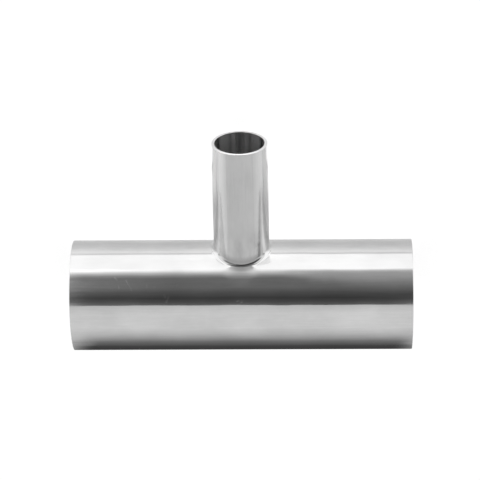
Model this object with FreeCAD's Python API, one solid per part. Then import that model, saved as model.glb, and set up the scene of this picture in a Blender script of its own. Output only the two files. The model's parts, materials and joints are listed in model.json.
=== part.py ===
import FreeCAD
import Part
import math
import os

# Reducing weld tee for thin-walled sanitary tube, in millimetres.
# A straight run of large tube carries a smaller branch at its middle. A collar is drawn out of the run's
# wall, the branch tube is butt-welded to it, and the weld is ground and polished flush, so the tee is one
# piece of metal. All three ends are cut square for welding.
# Row frame: the origin is where the two centre lines cross, +X runs along the run, and +Z is up.
# The tee lies as it comes to rest: the run's side and the lowest point of the branch's rim touch the table.

# run tube
run_outside_diameter = 50.8
run_wall = 1.5
run_length = 156.0

# branch tube
branch_outside_diameter = 25.4
branch_wall = 1.5
branch_reach = 78.0  # from the run's centre line to the branch's face

# drawn collar, where the run's wall turns up into the branch
collar_outside_radius = 3.0

# square-cut ends
edge_break = 0.2  # the sharp edge is taken off inside and outside

run_outside_radius = run_outside_diameter / 2
run_bore_radius = run_outside_radius - run_wall
branch_outside_radius = branch_outside_diameter / 2
branch_bore_radius = branch_outside_radius - branch_wall

# the wall keeps its thickness round the bend, so both collar radii share their centres
collar_inside_radius = collar_outside_radius + run_wall

# a cut starts this far outside the metal
overrun = 5.0

# an edge is found by points that lie this close to where it should be
reach_of_match = 0.01
points_tried = 5

along_run = FreeCAD.Vector(1, 0, 0)
along_branch = FreeCAD.Vector(0, 0, 1)
crossing = FreeCAD.Vector(0, 0, 0)


def two_cylinders(run_radius, half_run, branch_radius, reach):
    """A run and a branch of solid round bar, joined at the crossing."""
    start = FreeCAD.Vector(-half_run, 0, 0)
    run = Part.makeCylinder(run_radius, 2 * half_run, start, along_run)
    branch = Part.makeCylinder(branch_radius, reach, crossing, along_branch)
    return run.fuse(branch).removeSplitter()


def is_saddle_edge(edge, run_radius, branch_radius):
    """True for an edge that lies on the run's surface and on the branch's surface at once."""
    first, last = edge.ParameterRange
    for step in range(points_tried):
        point = edge.valueAt(first + (last - first) * step / (points_tried - 1))
        if abs(math.hypot(point.y, point.z) - run_radius) > reach_of_match:
            return False
        if abs(math.hypot(point.x, point.y) - branch_radius) > reach_of_match:
            return False
    return True


def round_the_saddle(shape, run_radius, branch_radius, radius):
    """Fill the corner between run and branch with a rolling-ball radius."""
    saddle = [edge for edge in shape.Edges if is_saddle_edge(edge, run_radius, branch_radius)]
    return shape.makeFillet(radius, saddle)


def outside_form():
    """The tee's outside skin, filled solid."""
    form = two_cylinders(run_outside_radius, run_length / 2, branch_outside_radius, branch_reach)
    return round_the_saddle(form, run_outside_radius, branch_outside_radius, collar_outside_radius)


def bore_form():
    """The way through the run and out of the branch, carried past all three faces."""
    form = two_cylinders(run_bore_radius, run_length / 2 + overrun, branch_bore_radius, branch_reach + overrun)
    return round_the_saddle(form, run_bore_radius, branch_bore_radius, collar_inside_radius)


def is_end_edge(edge):
    """True for a circle that bounds one of the three end faces."""
    if not isinstance(edge.Curve, Part.Circle):
        return False
    centre = edge.Curve.Center
    on_run_end = abs(abs(centre.x) - run_length / 2) < reach_of_match
    on_branch_end = abs(centre.z - branch_reach) < reach_of_match
    return on_run_end or on_branch_end


def break_end_edges(shape):
    """Take the sharp edge off the three square-cut ends, inside and outside."""
    return shape.makeChamfer(edge_break, [edge for edge in shape.Edges if is_end_edge(edge)])


def resting_dip():
    """The angle, in degrees, by which the branch dips when its rim and the run's side touch the table."""
    rim_reach = branch_reach - edge_break
    rim_distance = math.hypot(rim_reach, branch_outside_radius)
    dip = math.asin(run_outside_radius / rim_distance) - math.atan2(branch_outside_radius, rim_reach)
    return math.degrees(dip)


def make_tee():
    """The tee with its branch upright."""
    shell = outside_form().cut(bore_form())
    return break_end_edges(shell)


def lay_down(shape):
    """Turn the tee about its run until it lies as it comes to rest, with the branch towards -Y."""
    laid = shape.copy()
    laid.rotate(crossing, along_run, 90 + resting_dip())
    return laid


os.makedirs("parts", exist_ok=True)
tee_body = lay_down(make_tee())
tee_body.exportStep("parts/tee_body.step")
print("branch dips by", round(resting_dip(), 3), "degrees")
print("tee_body", tee_body.ShapeType, "valid", tee_body.isValid(), "volume", round(tee_body.Volume, 1))
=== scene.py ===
import json
import math

import bpy
import numpy as np
from mathutils import Matrix, Quaternion, Vector


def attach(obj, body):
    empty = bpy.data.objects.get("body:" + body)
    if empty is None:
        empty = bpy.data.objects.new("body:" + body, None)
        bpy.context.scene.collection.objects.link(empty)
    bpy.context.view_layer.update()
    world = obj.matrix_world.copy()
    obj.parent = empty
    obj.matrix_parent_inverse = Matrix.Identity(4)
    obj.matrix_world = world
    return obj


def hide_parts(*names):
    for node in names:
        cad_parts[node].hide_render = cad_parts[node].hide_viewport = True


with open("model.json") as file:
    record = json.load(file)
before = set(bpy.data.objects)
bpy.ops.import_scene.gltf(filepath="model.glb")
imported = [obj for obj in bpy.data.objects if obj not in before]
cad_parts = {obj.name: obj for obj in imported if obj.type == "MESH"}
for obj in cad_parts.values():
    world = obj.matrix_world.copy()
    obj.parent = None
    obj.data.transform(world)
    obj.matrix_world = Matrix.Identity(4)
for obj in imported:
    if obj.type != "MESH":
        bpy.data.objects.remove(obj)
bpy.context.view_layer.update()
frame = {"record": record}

mmPerMetre = 1000
fullTurn = 360  # degrees
xWay, yWay, zWay = np.eye(3)

# Where the tee is and how big it is, read from the frame. An end face's mount is at the middle of the wall.
mounts = {mount["name"]: mount for mount in frame["record"]["mounts"]}
runBoreRadius = mounts["run_bore"]["dims"]["r_mm"] / mmPerMetre
branchBoreRadius = mounts["branch_bore"]["dims"]["r_mm"] / mmPerMetre
halfRun, midWall, _ = mounts["run_face_plus"]["pos_m"]
wall = 2 * (midWall - runBoreRadius)
runRadius = runBoreRadius + wall
branchRadius = branchBoreRadius + wall
branchWay = Vector(mounts["branch_bore"]["axis"])
branchReach = Vector(mounts["branch_face"]["pos_m"]).dot(branchWay)
branchDip = math.atan2(-branchWay.z, -branchWay.y)
layDown = Matrix.Rotation(math.pi / 2 + branchDip, 3, "X")  # from branch upright to lying
floorHeight = -runRadius

# The shape of the tee's skin, in metres and degrees.
teeShape = {
    "collarRadius": 0.0022,  # outside radius of the drawn collar; the wall keeps its thickness round it
    "edgeBreak": 0.0002,  # sharp edge taken off the three cut ends
    "patchHalfLength": 0.026,  # the part of the run round the collar that is meshed as a web
    "patchHalfTurn": 60.0,  # the same, measured round the run
    "stepsRound": 256,  # quads round the branch
    "webRings": 24,
    "blendSteps": 14,  # quads across the collar's bend
    "branchRows": 24,
    "sideColumns": 16,  # quads from the web to a cut end of the run
    "heelTilt": 8.2,  # in front of the branch and behind it the collar runs out on a gentle slope
    "heelLift": 0.00017,  # how high above the run that slope starts
    "heelLength": 0.0024,
    "heelFull": 0.0042,  # half width that has the whole slope
    "heelEnd": 0.0072,  # half width past which there is none
    "dentDepth": 0.00004,  # under and past the slope the run is very slightly hollow
    "dentLength": 0.0064,
    "weldReach": 1e-7,  # corners of neighbouring grids agree far more closely than this
}


def evenSteps(start, end, count):
    return np.linspace(start, end, count + 1)


# Angles round the branch, in radians, from +X.
def branchTurns():
    return evenSteps(0, 2 * math.pi, teeShape["stepsRound"])


# 0 before start, 1 after end, smooth between.
def easeStep(value, start, end):
    share = np.clip((value - start) / (end - start), 0, 1)
    return share ** 2 * (3 - 2 * share)


# Ways straight out of the branch, at angles round it.
def branchOut(t):
    return np.stack([np.cos(t), np.sin(t), 0 * t], -1)


# Ways straight out of the run, at angles round it that start from the branch.
def runOut(turn):
    return np.stack([0 * turn, np.sin(turn), np.cos(turn)], -1)


# Points on the run and the ways out there, from x along it and the angle round it.
def runPoints(x, turn, radius):
    x, turn, radius = np.broadcast_arrays(x, turn, radius)
    out = runOut(turn)
    return out * radius[..., None] + x[..., None] * xWay, out


# Centre of the rolling ball and the ways from it to the branch and to the run, round the saddle.
def collarFrame(t):
    big = runRadius + teeShape["collarRadius"]
    small = branchRadius + teeShape["collarRadius"]
    x, y = small * np.cos(t), small * np.sin(t)
    heel = 1 - easeStep(abs(x), teeShape["heelFull"], teeShape["heelEnd"])
    z = np.sqrt(big ** 2 - y ** 2) + heel * teeShape["heelLift"]
    turn = np.arcsin(y / big) + np.sign(y) * heel * math.radians(teeShape["heelTilt"])
    return np.stack([x, y, z], -1), -branchOut(t), -runOut(turn)


# A walk round a square of half width 1, measured along one way. It starts at the far side in that way.
def squareWalk(degrees):
    fromStart = abs((degrees + fullTurn / 2) % fullTurn - fullTurn / 2)
    return np.clip(2 - fromStart / (fullTurn / 8), -1, 1)


# Height above the run at a distance from the collar: the heel's slope less the hollow.
def heelHeight(gone, startHeight):
    slope = np.clip(1 - gone / teeShape["heelLength"], 0, 1) ** 2
    hollow = np.sin(math.pi * np.clip(gone / teeShape["dentLength"], 0, 1)) ** 2
    return startHeight * slope - hollow * teeShape["dentDepth"] * startHeight / teeShape["heelLift"]


# Slopes of a height over a grid of flat places.
def gridSlopes(x, y, height):
    xDown, yDown, rise = (np.gradient(value, axis=0, edge_order=2) for value in (x, y, height))
    xAcross, yAcross, climb = (np.gradient(value, axis=1, edge_order=2) for value in (x, y, height))
    area = xDown * yAcross - xAcross * yDown
    return (rise * yAcross - climb * yDown) / area, (xDown * climb - xAcross * rise) / area


# The run's skin round the collar: rings that go from the saddle curve out to a rectangle. Like every patch
# it is a grid of points and a grid of ways out of the metal; side is 1 outside and -1 in the bore.
def webPatch(side, radius, bend):
    t = branchTurns()
    centre, _, toRun = collarFrame(t)
    hole = centre + toRun * bend
    holeTurn = np.arctan2(hole[:, 1], hole[:, 2])
    holeLift = np.hypot(hole[:, 1], hole[:, 2]) - radius
    degrees = np.degrees(t)
    edgeX = squareWalk(degrees) * teeShape["patchHalfLength"]
    edgeTurn = squareWalk(degrees - fullTurn / 4) * math.radians(teeShape["patchHalfTurn"])
    share = evenSteps(0, 1, teeShape["webRings"])[:, None]
    x = hole[:, 0] + (edgeX - hole[:, 0]) * share
    turn = holeTurn + (edgeTurn - holeTurn) * share
    gone = np.hypot(x - hole[:, 0], radius * (turn - holeTurn))
    lift = heelHeight(gone, holeLift)
    points, out = runPoints(x, turn, radius + lift)
    alongSlope, roundSlope = gridSlopes(x, radius * turn, lift)
    roundWay = np.stack([0 * turn, np.cos(turn), -np.sin(turn)], -1)
    out = out - alongSlope[..., None] * xWay - roundSlope[..., None] * roundWay
    return points, out * side


# The rest of the run's skin: two bands beside the web, and the side away from the branch. It also gives the
# angles round the whole run at which the bands have their corners.
def sleevePatches(side, radius):
    perSide = teeShape["stepsRound"] // 4
    halfTurn = math.radians(teeShape["patchHalfTurn"])
    end = halfRun - teeShape["edgeBreak"]
    middle = evenSteps(-teeShape["patchHalfLength"], teeShape["patchHalfLength"], perSide)
    right = evenSteps(teeShape["patchHalfLength"], end, teeShape["sideColumns"])
    columns = np.concatenate([-right[:0:-1], middle, right[1:]])
    near = evenSteps(-halfTurn, halfTurn, perSide)[:, None]
    far = evenSteps(halfTurn, 2 * math.pi - halfTurn, 2 * perSide)[:, None]
    patches = []
    for x, turn in ((right, near), (-right, near), (columns, far)):
        points, out = runPoints(x, turn, radius)
        patches.append((points, out * side))
    return patches, np.concatenate([near[:-1, 0], far[:, 0]])


# The blend from the branch's skin to the run's skin.
def collarPatch(side, radius):
    centre, toBranch, toRun = collarFrame(branchTurns())
    angle = np.arccos((toBranch * toRun).sum(-1))[:, None]
    share = evenSteps(0, 1, teeShape["blendSteps"])[:, None, None]
    way = (np.sin((1 - share) * angle) * toBranch + np.sin(share * angle) * toRun) / np.sin(angle)
    return centre + way * radius, -way * side


def branchPatch(side, radius):
    t = branchTurns()
    low = collarFrame(t)[0][:, 2]
    share = evenSteps(0, 1, teeShape["branchRows"])[:, None]
    z = low + (branchReach - teeShape["edgeBreak"] - low) * share
    out = branchOut(np.broadcast_to(t, z.shape))
    return out * radius + z[..., None] * zWay, out * side


# (radius, distance along, way out, way along) of a square-cut end with its edges broken.
def endProfile(outer, inner, reach):
    cut = teeShape["edgeBreak"]
    return [
        (outer, reach - cut, 1, 0),
        (outer - cut, reach, 0, 1),
        (inner + cut, reach, 0, 1),
        (inner, reach - cut, -1, 0),
    ]


def endPatch(profile, turns, across, sideways, along):
    radii, reach, outWay, alongWay = (np.array(row, float)[:, None, None] for row in zip(*profile))
    ring = np.cos(turns)[None, :, None] * across + np.sin(turns)[None, :, None] * sideways
    return ring * radii + along * reach, ring * outWay + along * alongWay


# The patches of the outside, of the bore and of the cut ends, each with its finish, which is (1 in the bore,
# 1 on a cut face).
def teePatches():
    bend = teeShape["collarRadius"]
    patches = []
    for side, shrink, finish in ((1, 0, (0, 0)), (-1, wall, (1, 0))):
        skin = [webPatch(side, runRadius - shrink, bend + shrink)]
        sleeves, runTurns = sleevePatches(side, runRadius - shrink)
        skin.extend(sleeves)
        skin.append(collarPatch(side, bend + shrink))
        skin.append(branchPatch(side, branchRadius - shrink))
        patches.extend((*patch, finish) for patch in skin)
    cutFinish = (0, 1)
    branchEnd = endProfile(branchRadius, branchBoreRadius, branchReach)
    patches.append((*endPatch(branchEnd, branchTurns(), xWay, yWay, zWay), cutFinish))
    runEnd = endProfile(runRadius, runBoreRadius, halfRun)
    for along in (xWay, -xWay):
        patches.append((*endPatch(runEnd, runTurns, zWay, yWay, along), cutFinish))
    return patches


# Join the patches into one list of corners, ways out, finishes and quads that face out of the metal.
def weldPatches(patches):
    points, normals, finishes, quads = [], [], [], []
    count = 0
    for grid, way, finish in patches:
        rows, columns = grid.shape[:2]
        index = count + np.arange(rows * columns).reshape(rows, columns)
        ring = np.stack([index[:-1, :-1], index[1:, :-1], index[1:, 1:], index[:-1, 1:]], -1)
        quads.append(ring.reshape(-1, 4))
        points.append(grid.reshape(-1, 3))
        normals.append(way.reshape(-1, 3))
        finishes.append(np.tile(finish, (rows * columns, 1)))
        count += rows * columns
    points, normals, finishes, quads = (np.concatenate(part) for part in (points, normals, finishes, quads))
    places = np.round(points / teeShape["weldReach"])
    _, first, merged = np.unique(places, axis=0, return_index=True, return_inverse=True)
    points, normals, finishes = points[first], normals[first], finishes[first]
    quads = merged.reshape(-1)[quads]
    corners = points[quads]
    face = np.cross(corners[:, 2] - corners[:, 0], corners[:, 3] - corners[:, 1])
    inward = (face * normals[quads].sum(1)).sum(-1) < 0
    quads[inward] = quads[inward][:, ::-1]
    return points, normals, finishes, quads


# 1 on the branch tube, 0 on the run, and smooth over the collar.
def branchShare(points):
    fromRun = np.hypot(points[:, 1], points[:, 2]) - runRadius
    return easeStep(fromRun, 0, teeShape["collarRadius"])


def newObject(name, corners, faces, material=None):
    mesh = bpy.data.meshes.new(name)
    mesh.from_pydata(corners, [], faces)
    if material:
        mesh.materials.append(material)
    made = bpy.data.objects.new(name, mesh)
    bpy.context.scene.collection.objects.link(made)
    return made


# The mesh keeps, for the material, each corner's shares and its place with the branch upright.
def makeTee():
    points, normals, finishes, quads = weldPatches(teePatches())
    toLying = np.array(layDown).T
    made = newObject("tee", (points @ toLying).tolist(), quads.tolist())
    mesh = made.data
    mesh.polygons.foreach_set("use_smooth", [True] * len(mesh.polygons))
    mesh.normals_split_custom_set_from_vertices((normals @ toLying).tolist())
    shares = {"branchShare": branchShare(points), "boreShare": finishes[:, 0], "cutShare": finishes[:, 1]}
    for name, values in shares.items():
        mesh.attributes.new(name, "FLOAT", "POINT").data.foreach_set("value", values.astype(np.float32))
    place = mesh.attributes.new("teePlace", "FLOAT_VECTOR", "POINT")
    place.data.foreach_set("vector", points.astype(np.float32).ravel())
    return made


tee = makeTee()
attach(tee, "root")
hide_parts("tee_body")
print("tee meshed,", len(tee.data.polygons), "quads")


# Material tools.
def addNode(tree, kind, **settings):
    node = tree.nodes.new("ShaderNode" + kind)
    for name, value in settings.items():
        setattr(node, name, value)
    return node


# Feeds sockets with values, each a number or another node's socket.
def feed(tree, sockets, values):
    for socket, value in zip(sockets, values):
        if isinstance(value, bpy.types.NodeSocket):
            tree.links.new(value, socket)
        else:
            socket.default_value = value


# One Math node.
def sums(tree, operation, *values):
    node = addNode(tree, "Math", operation=operation)
    feed(tree, node.inputs, values)
    return node.outputs[0]


def oneMinus(tree, value):
    return sums(tree, "SUBTRACT", 1, value)


# The value times (1 + where * amount).
def raised(tree, value, where, amount):
    return sums(tree, "MULTIPLY", value, sums(tree, "MULTIPLY_ADD", where, amount, 1))


# The long side of a right angle with these two short sides.
def longSide(tree, first, second):
    squares = sums(tree, "MULTIPLY_ADD", first, first, sums(tree, "MULTIPLY", second, second))
    return sums(tree, "SQRT", squares)


# Carries a value evenly from one range to another, and no further.
def spread(tree, value, source, target):
    node = addNode(tree, "MapRange")
    feed(tree, node.inputs, (value, *source, *target))
    return node.outputs[0]


# 0 before start, 1 after end, smooth between.
def softStep(tree, value, start, end):
    node = addNode(tree, "MapRange", interpolation_type="SMOOTHSTEP")
    feed(tree, node.inputs, (value, start, end))
    return node.outputs[0]


# Rises smoothly from 0 to 1 over the first range and falls back to 0 over the second.
def softBand(tree, value, rise, fall):
    risen = softStep(tree, value, *rise)
    fallen = softStep(tree, value, *fall)
    return sums(tree, "MULTIPLY", risen, oneMinus(tree, fallen))


def blendLevels(tree, share, first, second):
    node = addNode(tree, "Mix")
    feed(tree, (node.inputs[0], node.inputs[2], node.inputs[3]), (share, first, second))
    return node.outputs[0]


def grey(level):
    return (level, level, level, 1)


# A level that follows a place along a line of (place, level) stops.
def levelRamp(tree, place, stops):
    start, end = stops[0][0], stops[-1][0]
    top = max(stop[1] for stop in stops)
    ramp = addNode(tree, "ValToRGB")
    tree.links.new(spread(tree, place, (start, end), (0, 1)), ramp.inputs[0])
    elements = ramp.color_ramp.elements
    while len(elements) < len(stops):
        elements.new(0.5)  # anywhere, as the next lines place them all
    for element, (spot, level) in zip(elements, stops):
        element.position = (spot - start) / (end - start)
        element.color = grey(level / top)
    return sums(tree, "MULTIPLY", ramp.outputs[0], top)


def splitPlace(tree, vector):
    split = addNode(tree, "SeparateXYZ")
    tree.links.new(vector, split.inputs[0])
    return split.outputs


def objectPlace(tree):
    return splitPlace(tree, addNode(tree, "TexCoord").outputs["Object"])


def newMaterial(name):
    material = bpy.data.materials.new(name)
    material.use_nodes = True
    material.node_tree.nodes.clear()
    return material, material.node_tree


def giveSurface(tree, shader):
    output = addNode(tree, "OutputMaterial")
    tree.links.new(shader.outputs[0], output.inputs[0])


# The polished metal. Heights are in millimetres. A pattern of noise is given by its frequency per metre
# along a tube, the same across the tube, and its detail. The tones of the bore, the collar's foot and the
# cut faces are most likely reflections on the real tee. Here they are painted on, to match the photograph.
polish = {
    "runColour": 0.785,
    "branchColour": 0.64,
    "cutColour": 0.58,
    "cutTopPaintedHighlight": 0.95,  # painted highlight: the upper side of a cut face is the palest
    "cutTopFrom": (0.5, 0.95),  # heights, as shares of the branch's radius
    "paintedBoreShading": [  # (share of the branch's radius, colour): painted reflection as pale streaks, and painted shade beside the rim
        (0, 0.72), (0.15, 0.72), (0.2, 0.87), (0.27, 0.86), (0.34, 0.78), (0.45, 0.95), (0.66, 0.98),
        (0.77, 0.68), (0.9, 0.62), (1.1, 0.74),
    ],
    "boreSidePaintedShade": (1.06, 0.96),  # painted light and shade: the bore's tone times these at its -X side and its +X side
    "runBoreColour": 0.76,
    "collarPaintedShade": 0.34,  # painted shade: in front of the branch and behind it, the metal at its foot is darker
    "collarFrom": (0.0001, 0.0009),  # distances from the run's skin
    "collarTo": (0.0014, 0.0046),
    "collarAcross": (0.0085, 0.0115),  # distances from the plane of both centre lines
    "runRoughness": 0.065,
    "branchRoughness": 0.15,
    "boreRoughness": (0.24, 0.4),  # where the bore's painted shading is dark and where it is pale
    "boreTones": (0.73, 0.95),  # the painted shades that count as dark and as pale
    "endRoughness": 0.05,  # the run is rougher near its ends, past this distance from its middle
    "endFrom": 0.066,
    "cutRoughness": 0.2,
    "grain": (70, 1300, 2),
    "grainHeight": 0.003,
    "grainRoughness": 0.05,
    "grainShade": 0.05,
    "smudges": (45, 70, 4),
    "smudgeShade": 0.18,
    "smudgeRoughness": 0.06,
    "brushMarks": (90, 210, 3),  # at the foot of the branch, where the weld was brushed
    "brushShade": 0.32,
    "brushFrom": (0.001, 0.004),  # distances from the run's skin
    "brushTo": (0.007, 0.018),
    "waves": (28, 40, 2),  # the polished skin isn't quite even
    "waveHeight": 0.18,
    "branchWaves": (55, 150, 2),
    "branchWaveHeight": 0.12,
    "boreStreaks": (6, 330, 2),
    "boreStreak": 0.1,
    "weldFrom": 0.0305,  # up the branch, where it was welded on: ground flush but still faintly felt
    "weldTo": 0.0345,
    "weldHeight": 0.06,
    "scratchHeight": 0.004,
    "scratchRoughness": 0.13,
}
# Handling marks on the run, where the photograph shows them: (x, turn in degrees from the branch, length,
# lean in degrees, width), mm.
scratches = [
    (57.0, 43.5, 1.6, 125, 0.45),
    (55.5, 52.6, 1.2, 100, 0.5),
    (51.8, 47.5, 2.2, 115, 0.4),
    (50.2, 54.0, 2.6, 118, 0.4),
    (42.8, 51.8, 1.3, 95, 0.4),
    (39.3, 52.2, 0.9, 30, 0.5),
    (29.0, 51.0, 1.0, 75, 0.5),
    (33.4, 65.5, 3.0, 68, 0.8),
    (34.6, 62.5, 2.0, 110, 0.5),
    (1.4, 67.6, 0.8, 15, 0.5),
    (-0.4, 68.2, 0.5, 60, 0.4),
]
alongRun, alongBranch = 0, 2  # ways in which a pattern is stretched
sideToSide = (-1, 1)  # from the -X side to the +X side


def meshShare(tree, name):
    return addNode(tree, "Attribute", attribute_name=name).outputs["Fac"]


# The place on the metal with the branch upright: X along the run, Z along the branch.
def teePlace(tree):
    return addNode(tree, "Attribute", attribute_name="teePlace").outputs["Vector"]


def teeAxes(tree):
    return splitPlace(tree, teePlace(tree))


# A pattern of noise, stretched along one tube.
def stretched(tree, pattern, way):
    along, across, detail = pattern
    scales = [across] * 3
    scales[way] = along
    mapping = addNode(tree, "Mapping")
    mapping.inputs["Scale"].default_value = scales
    tree.links.new(teePlace(tree), mapping.inputs["Vector"])
    noise = addNode(tree, "TexNoise")
    noise.inputs["Scale"].default_value = 1
    noise.inputs["Detail"].default_value = detail
    tree.links.new(mapping.outputs[0], noise.inputs["Vector"])
    return noise.outputs["Fac"]


# The pattern stretched along whichever tube the place is on.
def tubeNoise(tree, pattern):
    onRun = stretched(tree, pattern, alongRun)
    onTube = stretched(tree, pattern, alongBranch)
    return blendLevels(tree, meshShare(tree, "branchShare"), onRun, onTube)


# Noise from 0 to 1, carried to plus or minus an amount.
def centred(tree, noise, amount):
    return sums(tree, "MULTIPLY_ADD", noise, 2 * amount, -amount)


# 1 on a scratch and 0 off it, on the run's skin rolled out flat in millimetres.
def scratchMask(tree, flatX, flatY, scratch):
    x, turn, length, lean, width = scratch
    cosine, sine = math.cos(math.radians(lean)), math.sin(math.radians(lean))
    offX = sums(tree, "SUBTRACT", flatX, x)
    offY = sums(tree, "SUBTRACT", flatY, math.radians(turn) * runRadius * mmPerMetre)
    along = sums(tree, "MULTIPLY_ADD", offX, cosine, sums(tree, "MULTIPLY", offY, sine))
    across = sums(tree, "MULTIPLY_ADD", offX, -sine, sums(tree, "MULTIPLY", offY, cosine))
    past = sums(tree, "SUBTRACT", sums(tree, "ABSOLUTE", along), length / 2)
    away = longSide(tree, sums(tree, "MAXIMUM", past, 0), across)
    return oneMinus(tree, softStep(tree, away, 0, width))


# 1 on any of the scratches, which are all on the outside.
def scratchesMask(tree):
    place = teeAxes(tree)
    flatX = sums(tree, "MULTIPLY", place["X"], mmPerMetre)
    turn = sums(tree, "ARCTAN2", place["Y"], place["Z"])
    flatY = sums(tree, "MULTIPLY", turn, runRadius * mmPerMetre)
    total = 0
    for scratch in scratches:
        total = sums(tree, "MAXIMUM", total, scratchMask(tree, flatX, flatY, scratch))
    return sums(tree, "MULTIPLY", total, oneMinus(tree, meshShare(tree, "boreShare")))


# The outside of both tubes, with painted shade at the collar's foot and the brush marks above the collar.
def skinColour(tree, smudge, grain):
    colour = blendLevels(tree, meshShare(tree, "branchShare"), polish["runColour"], polish["branchColour"])
    shade = sums(tree, "ADD", centred(tree, smudge, polish["smudgeShade"]), 1)
    shade = sums(tree, "ADD", shade, centred(tree, grain, polish["grainShade"]))
    colour = sums(tree, "MULTIPLY", colour, shade)
    place = teeAxes(tree)
    fromRun = sums(tree, "SUBTRACT", longSide(tree, place["Y"], place["Z"]), runRadius)
    collarFootShade = softBand(tree, fromRun, polish["collarFrom"], polish["collarTo"])
    inFront = softStep(tree, sums(tree, "ABSOLUTE", place["Y"]), *polish["collarAcross"])
    collarFootShade = sums(tree, "MULTIPLY", collarFootShade, inFront)
    colour = raised(tree, colour, collarFootShade, -polish["collarPaintedShade"])
    brushed = softBand(tree, fromRun, polish["brushFrom"], polish["brushTo"])
    marks = centred(tree, stretched(tree, polish["brushMarks"], alongBranch), polish["brushShade"])
    return raised(tree, colour, marks, brushed)


# The bore's tone, which is even in the run. Across the branch it is painted reflection and shade that
# follows the place.
def paintedBoreTone(tree):
    across = sums(tree, "DIVIDE", teeAxes(tree)["X"], branchRadius)
    tone = levelRamp(tree, sums(tree, "ABSOLUTE", across), polish["paintedBoreShading"])
    tone = sums(tree, "MULTIPLY", tone, spread(tree, across, sideToSide, polish["boreSidePaintedShade"]))
    return blendLevels(tree, meshShare(tree, "branchShare"), polish["runBoreColour"], tone)


# The cut faces carry a painted highlight: they are palest at their upper side.
def cutColour(tree):
    start, end = (share * branchRadius for share in polish["cutTopFrom"])
    upper = softStep(tree, teeAxes(tree)["Y"], start, end)
    return blendLevels(tree, upper, polish["cutColour"], polish["cutTopPaintedHighlight"])


def metalColour(tree, smudge, grain):
    streak = centred(tree, tubeNoise(tree, polish["boreStreaks"]), polish["boreStreak"])
    inBore = sums(tree, "ADD", paintedBoreTone(tree), streak)
    colour = blendLevels(tree, meshShare(tree, "boreShare"), skinColour(tree, smudge, grain), inBore)
    return blendLevels(tree, meshShare(tree, "cutShare"), colour, cutColour(tree))


def metalRoughness(tree, smudge, grain, scratched):
    onBranch = meshShare(tree, "branchShare")
    roughness = blendLevels(tree, onBranch, polish["runRoughness"], polish["branchRoughness"])
    roughness = sums(tree, "ADD", roughness, centred(tree, smudge, polish["smudgeRoughness"]))
    roughness = sums(tree, "ADD", roughness, centred(tree, grain, polish["grainRoughness"]))
    roughness = sums(tree, "MULTIPLY_ADD", scratched, polish["scratchRoughness"], roughness)
    fromMiddle = sums(tree, "ABSOLUTE", teeAxes(tree)["X"])
    nearEnd = softStep(tree, fromMiddle, polish["endFrom"], halfRun)
    roughness = sums(tree, "MULTIPLY_ADD", nearEnd, polish["endRoughness"], roughness)
    inBore = spread(tree, paintedBoreTone(tree), polish["boreTones"], polish["boreRoughness"])
    roughness = blendLevels(tree, meshShare(tree, "boreShare"), roughness, inBore)
    return blendLevels(tree, meshShare(tree, "cutShare"), roughness, polish["cutRoughness"])


# Slow waves, fine grain, the weld's faint ring and the scratches.
def metalHeight(tree, grain, scratched):
    onBranch = meshShare(tree, "branchShare")
    runWaves = sums(tree, "MULTIPLY", stretched(tree, polish["waves"], alongRun), polish["waveHeight"])
    branchNoise = stretched(tree, polish["branchWaves"], alongBranch)
    branchWaves = sums(tree, "MULTIPLY", branchNoise, polish["branchWaveHeight"])
    height = blendLevels(tree, onBranch, runWaves, branchWaves)
    height = sums(tree, "MULTIPLY_ADD", grain, polish["grainHeight"], height)
    middle = (polish["weldFrom"] + polish["weldTo"]) / 2
    upBranch = teeAxes(tree)["Z"]
    ring = softBand(tree, upBranch, (polish["weldFrom"], middle), (middle, polish["weldTo"]))
    ring = sums(tree, "MULTIPLY", ring, sums(tree, "MULTIPLY", onBranch, branchNoise))
    height = sums(tree, "MULTIPLY_ADD", ring, polish["weldHeight"], height)
    return sums(tree, "MULTIPLY_ADD", scratched, -polish["scratchHeight"], height)


def makePolishedMetal():
    material, tree = newMaterial("polishedStainless")
    shader = addNode(tree, "BsdfPrincipled")
    shader.inputs["Metallic"].default_value = 1
    grain = tubeNoise(tree, polish["grain"])
    smudge = tubeNoise(tree, polish["smudges"])
    scratched = scratchesMask(tree)
    tree.links.new(metalColour(tree, smudge, grain), shader.inputs["Base Color"])
    tree.links.new(metalRoughness(tree, smudge, grain, scratched), shader.inputs["Roughness"])
    bump = addNode(tree, "Bump")
    bump.inputs["Strength"].default_value = 1
    bump.inputs["Distance"].default_value = 1 / mmPerMetre
    tree.links.new(metalHeight(tree, grain, scratched), bump.inputs["Height"])
    tree.links.new(bump.outputs[0], shader.inputs["Normal"])
    giveSurface(tree, shader)
    return material


tee.data.materials.append(makePolishedMetal())
print("metal made")


# The studio is a pale floor and a curved tent round the run, which only the metal sees. A place on the tent
# is x along the run and an angle in degrees, from the horizon in front (0) over the top (90) to the back
# (180). Levels are light per unit of white. Those of the cards and the floor were worked out from the
# photograph: its greys were traced back off the metal to the light that they need. The top and back cards
# keep nearly those values, and the others were changed render by render. So the bands in the front view come
# from these levels more than from the metal.
tent = {
    "radius": 0.6,
    "halfLength": 1.3,
    "degreesPerStep": 3,
}
cardLift = 0.0002  # a card by the floor stops this far above it

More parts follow.
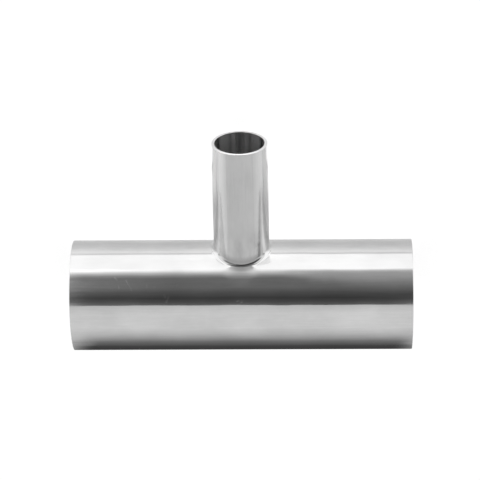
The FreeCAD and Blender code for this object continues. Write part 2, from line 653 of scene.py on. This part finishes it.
# The cards that make up the tent. Their levels are (angle, level) stops, and their ends are the x at which
# each end starts and stops to fade. The front card's right part, which is towards -X, has levels of its own.
cards = {
    "front": {
        "angles": (-2.4, 73),
        "levels": [
            (-2.4, 1.2), (1.6, 0.95), (3.8, 0.71), (8, 0.44), (12, 0.25), (17, 0.15), (36, 0.144),
            (46, 0.088), (58, 0.046), (66, 0.072), (73, 0.13),
        ],
        "rightLevels": [
            (-2.4, 1.2), (0, 0.8), (3, 0.48), (7, 0.38), (18, 0.315), (27, 0.225), (38, 0.143),
            (50, 0.065), (60, 0.055), (73, 0.16),
        ],
        "slant": (-0.003, -0.0012),  # the right part starts at this x, plus this much for each degree
        "slantSoft": (-0.012, 0.025),  # how far before and after that it fades in
        "leftEnd": (0.045, 0.15, 0.46),  # between these x the left part gets brighter by this share
        "leftTip": (0.136, 0.147, 0.036),  # and between these again, by this share for each degree
        # below the first angle the -X end and the +X end lie this many times nearer than above the second
        "taper": ((6.5, 4.45), 26, 38),
        "ends": ((-1.4, -0.7), (0.62, 0.8)),
    },
    "top": {
        "angles": (73, 138),
        "levels": [(73, 0.6), (80, 0.65), (91, 0.72), (124, 0.71), (138, 0.585)],
        "ends": ((-0.75, -0.6), (0.55, 0.8)),
    },
    "back": {
        "angles": (138, 182.5),
        "levels": [(138, 0.585), (150, 0.43), (157, 0.32), (164, 0.2), (172, 0.145), (182.5, 0.09)],
        "ends": ((-0.124, -0.086), (0.117, 0.166)),
    },
}


# Lets a card show in reflections and nowhere else.
def onlyInMetal(card):
    card.visible_camera = False
    card.visible_diffuse = False
    card.visible_transmission = False
    card.visible_volume_scatter = False
    card.visible_shadow = False


# Glows where shown is 1 and is clear where it is 0.
def glowWhere(tree, strength, shown):
    glow = addNode(tree, "Emission")
    tree.links.new(strength, glow.inputs["Strength"])
    mix = addNode(tree, "MixShader")
    clear = addNode(tree, "BsdfTransparent")
    feed(tree, mix.inputs, (shown, clear.outputs[0], glow.outputs[0]))
    giveSurface(tree, mix)


# Two shaders that add their light.
def bothShaders(tree, first, second):
    both = addNode(tree, "AddShader")
    feed(tree, both.inputs, (first.outputs[0], second.outputs[0]))
    return both


# A sheet that spans the same x on both sides of the tee, through a list of (y, z).
def makeSheet(name, material, halfWidth, rows):
    corners = [(x, y, z) for y, z in rows for x in (-halfWidth, halfWidth)]
    faces = [(2 * row, 2 * row + 1, 2 * row + 3, 2 * row + 2) for row in range(len(rows) - 1)]
    return newObject(name, corners, faces, material)


# (y, z) of a place on the tent, or this far from the run's centre line at the same angle.
def tentPlace(angle, radius):
    turn = math.radians(angle)
    return -radius * math.cos(turn), radius * math.sin(turn)


# The angle counts on past 180 below the horizon at the back.
def cardAngle(tree, place):
    front = sums(tree, "MULTIPLY", place["Y"], -1)
    turn = sums(tree, "DEGREES", sums(tree, "ARCTAN2", place["Z"], front))
    pastBack = sums(tree, "LESS_THAN", turn, -fullTurn / 4)
    return sums(tree, "MULTIPLY_ADD", pastBack, fullTurn, turn)


def cardStrength(tree, place, card):
    angle = cardAngle(tree, place)
    level = levelRamp(tree, angle, card["levels"])
    if "rightLevels" not in card:
        return level
    endFrom, endTo, more = card["leftEnd"]
    level = raised(tree, level, softStep(tree, place["X"], endFrom, endTo), more)
    tipFrom, tipTo, perDegree = card["leftTip"]
    tip = sums(tree, "MULTIPLY", softStep(tree, place["X"], tipFrom, tipTo), perDegree)
    level = raised(tree, level, tip, angle)
    start, perDegree = card["slant"]
    border = sums(tree, "MULTIPLY_ADD", angle, perDegree, start)
    pastBorder = sums(tree, "SUBTRACT", border, place["X"])
    toRight = softStep(tree, pastBorder, *card["slantSoft"])
    return blendLevels(tree, toRight, level, levelRamp(tree, angle, card["rightLevels"]))


# The place along a card that its soft ends go by.
def cardPlaceAlong(tree, place, card):
    if "taper" not in card:
        return place["X"]
    (timesRight, timesLeft), lower, upper = card["taper"]
    low = oneMinus(tree, softStep(tree, cardAngle(tree, place), lower, upper))
    onRight = sums(tree, "LESS_THAN", place["X"], 0)
    more = blendLevels(tree, onRight, timesLeft - 1, timesRight - 1)
    return raised(tree, place["X"], low, more)


def makeTentCard(name, card):
    material, tree = newMaterial(name)
    place = objectPlace(tree)
    shown = softBand(tree, cardPlaceAlong(tree, place, card), *card["ends"])
    glowWhere(tree, cardStrength(tree, place, card), shown)
    start, end = card["angles"]
    angles = evenSteps(start, end, int((end - start) / tent["degreesPerStep"]))
    rows = [tentPlace(angle, tent["radius"]) for angle in angles]
    onlyInMetal(makeSheet(name, material, tent["halfLength"], rows))


# A lighter gap in the front card, wide at its lower end, which adds its light to the card's.
gap = {
    "corners": ((0.008, 12), (0.0225, 12), (0.0225, 37), (0.0195, 37)),  # (x, angle)
    "inFront": 0.02,
    "light": 0.055,
}


def makeGap():
    material, tree = newMaterial("gap")
    glow = addNode(tree, "Emission")
    glow.inputs["Strength"].default_value = gap["light"]
    clear = addNode(tree, "BsdfTransparent")
    giveSurface(tree, bothShaders(tree, clear, glow))
    radius = tent["radius"] - gap["inFront"]
    corners = [(x, *tentPlace(angle, radius)) for x, angle in gap["corners"]]
    onlyInMetal(newObject("gap", corners, [list(range(len(corners)))], material))


# The floor behind the tee, which is dark as the metal sees it.
darkFloor = {
    "levels": [(0.03, 0.045), (0.3, 0.065), (0.6, 0.09)],  # (y, level), from its front to its back
    "halfWidth": 0.2,
    "ends": ((-0.092, -0.068), (0.067, 0.092)),  # by the tee
    "spread": 0.9,  # further back it is wider, by this share for each metre
    "lean": 0.03,  # and lies this much nearer to +X for each metre
}


def makeDarkFloor():
    material, tree = newMaterial("darkFloor")
    place = objectPlace(tree)
    leaned = sums(tree, "MULTIPLY_ADD", place["Y"], -darkFloor["lean"], place["X"])
    wider = sums(tree, "MULTIPLY_ADD", place["Y"], darkFloor["spread"], 1)
    shown = softBand(tree, sums(tree, "DIVIDE", leaned, wider), *darkFloor["ends"])
    levels = darkFloor["levels"]
    glowWhere(tree, levelRamp(tree, place["Y"], levels), shown)
    rows = [(y, floorHeight + cardLift) for y in (levels[0][0], levels[-1][0])]
    onlyInMetal(makeSheet("darkFloor", material, darkFloor["halfWidth"], rows))


# A low upright card on each side lights the branch's flanks. Only the face towards the branch shows, and
# each card opens outwards, so that the run shows none of it. Each has the (x, y) of its outer and its inner
# end, and its level.
banks = {
    "bankRight": ((-0.031, -0.075), (-0.026, -0.036), 0.82),
    "bankLeft": ((0.034, -0.075), (0.027, -0.036), 0.97),
}
bank = {
    "top": -0.0105,
    "soft": 0.012,  # length over which its light fades at each end
    "innerShare": 0.95,  # of its level, at the inner end
}


def makeBank(name, outer, inner, level):
    material, tree = newMaterial(name)
    place = objectPlace(tree)
    start, end = outer[1], inner[1]
    shown = softBand(tree, place["Y"], (start, start + bank["soft"]), (end - bank["soft"], end))
    behind = addNode(tree, "NewGeometry").outputs["Backfacing"]
    shown = sums(tree, "MULTIPLY", shown, oneMinus(tree, behind))
    stops = [(start, level), (end, level * bank["innerShare"])]
    glowWhere(tree, levelRamp(tree, place["Y"], stops), shown)
    heights = (floorHeight + cardLift, bank["top"])
    corners = [(x, y, z) for x, y in (outer, inner) for z in heights]
    face = (2, 3, 1, 0) if outer[0] < 0 else (0, 1, 3, 2)
    onlyInMetal(newObject(name, corners, [face], material))


# The floor gives the metal less light just in front of the tee, under it and behind it.
floor = {
    "size": 6.0,
    "colour": 0.8,
    "glow": 0.8,  # its own light as a camera sees it
    "mirror": [  # (y, its own light as the metal sees it), front to back
        (-0.30, 0.98), (-0.0565, 0.96), (-0.055, 0.4), (-0.053, 0.48), (-0.048, 0.74), (-0.043, 0.62),
        (-0.034, 0.43), (-0.026, 0.33), (-0.018, 0.38), (-0.008, 0.24), (0.01, 0.24), (0.03, 0.33),
        (0.3, 0.33),
    ],
    "sideMirror": 0.68,  # the least of the same beside the tee
    "sideFrom": (0.06, 0.105),
}


# 1 for what the camera sees, also through something clear.
def seenRays(tree, path):
    return sums(tree, "ADD", path["Is Camera Ray"], path["Is Transmission Ray"])


def makeFloor():
    bpy.ops.mesh.primitive_plane_add(size=floor["size"], location=(0, 0, floorHeight))
    made = bpy.context.object
    made.name = "floor"
    material, tree = newMaterial("paleFloor")
    paint = addNode(tree, "BsdfDiffuse")
    paint.inputs["Color"].default_value = grey(floor["colour"])
    path = addNode(tree, "LightPath").outputs
    seen = sums(tree, "MULTIPLY", seenRays(tree, path), floor["glow"])
    place = objectPlace(tree)
    beside = softStep(tree, sums(tree, "ABSOLUTE", place["X"]), *floor["sideFrom"])
    level = levelRamp(tree, place["Y"], floor["mirror"])
    level = sums(tree, "MAXIMUM", level, sums(tree, "MULTIPLY", beside, floor["sideMirror"]))
    mirrored = sums(tree, "MULTIPLY", path["Is Glossy Ray"], level)
    glow = addNode(tree, "Emission")
    tree.links.new(sums(tree, "ADD", seen, mirrored), glow.inputs["Strength"])
    giveSurface(tree, bothShaders(tree, paint, glow))
    made.data.materials.append(material)


# The room past the tent, as the metal sees it, and the light in it.
walls = {
    "levels": [(0.0, 1.05), (0.3, 0.97), (0.7, 0.72), (1.0, 0.65)],  # (height of the look, level)
    "sides": (0.88, 1.0),  # how much of that level the -X side and the +X side have
    "endFlags": 0.6,  # straight along the run the level falls by this share, which outlines the ends
    "endFlagsFrom": (0.97, 0.993),
    "skyLight": 0.3,  # even light that reaches the floor and casts the tee's shadow
}


# The metal sees the walls, the camera sees white, and everything else gets the sky light.
def makeWorld():
    world = bpy.data.worlds.new("studio")
    bpy.context.scene.world = world
    world.use_nodes = True
    tree = world.node_tree
    tree.nodes.clear()
    look = splitPlace(tree, addNode(tree, "TexCoord").outputs["Generated"])
    level = levelRamp(tree, look["Z"], walls["levels"])
    level = sums(tree, "MULTIPLY", level, spread(tree, look["X"], sideToSide, walls["sides"]))
    flagged = softStep(tree, sums(tree, "ABSOLUTE", look["X"]), *walls["endFlagsFrom"])
    level = raised(tree, level, flagged, -walls["endFlags"])
    path = addNode(tree, "LightPath").outputs
    light = blendLevels(tree, seenRays(tree, path), walls["skyLight"], 1.0)
    light = blendLevels(tree, path["Is Glossy Ray"], light, level)
    background = addNode(tree, "Background")
    background.inputs["Color"].default_value = grey(1)
    tree.links.new(light, background.inputs["Strength"])
    output = addNode(tree, "OutputWorld")
    tree.links.new(background.outputs[0], output.inputs[0])


makeFloor()
for name, card in cards.items():
    makeTentCard(name + "Card", card)
makeGap()
makeDarkFloor()
for name, (outer, inner, level) in banks.items():
    makeBank(name, outer, inner, level)
makeWorld()
print("studio made")


# The camera looks down on the lying tee with its up towards the branch's open end.
view = {
    "target": (0.0011, -0.0200, -0.0154),
    "distance": 1.1429,
    "azimuth": -3.043,  # 0 looks along +Y
    "elevation": 52.318,
    "roll": 182.121,
    "lens": 185.256,
    "nearest": 0.01,
    "farthest": 50,
}


def makeCamera():
    azimuth, elevation = math.radians(view["azimuth"]), math.radians(view["elevation"])
    back = Vector((
        math.sin(azimuth) * math.cos(elevation),
        -math.cos(azimuth) * math.cos(elevation),
        math.sin(elevation),
    ))
    data = bpy.data.cameras.new("camera")
    data.lens = view["lens"]
    data.clip_start, data.clip_end = view["nearest"], view["farthest"]
    camera = bpy.data.objects.new("camera", data)
    bpy.context.scene.collection.objects.link(camera)
    camera.location = Vector(view["target"]) + back * view["distance"]
    camera.rotation_mode = "QUATERNION"
    roll = Quaternion((0, 0, 1), math.radians(view["roll"]))
    camera.rotation_quaternion = (-back).to_track_quat("-Z", "Y") @ roll
    bpy.context.scene.camera = camera


makeCamera()
bpy.context.scene.view_settings.view_transform = "Standard"
print("camera placed")
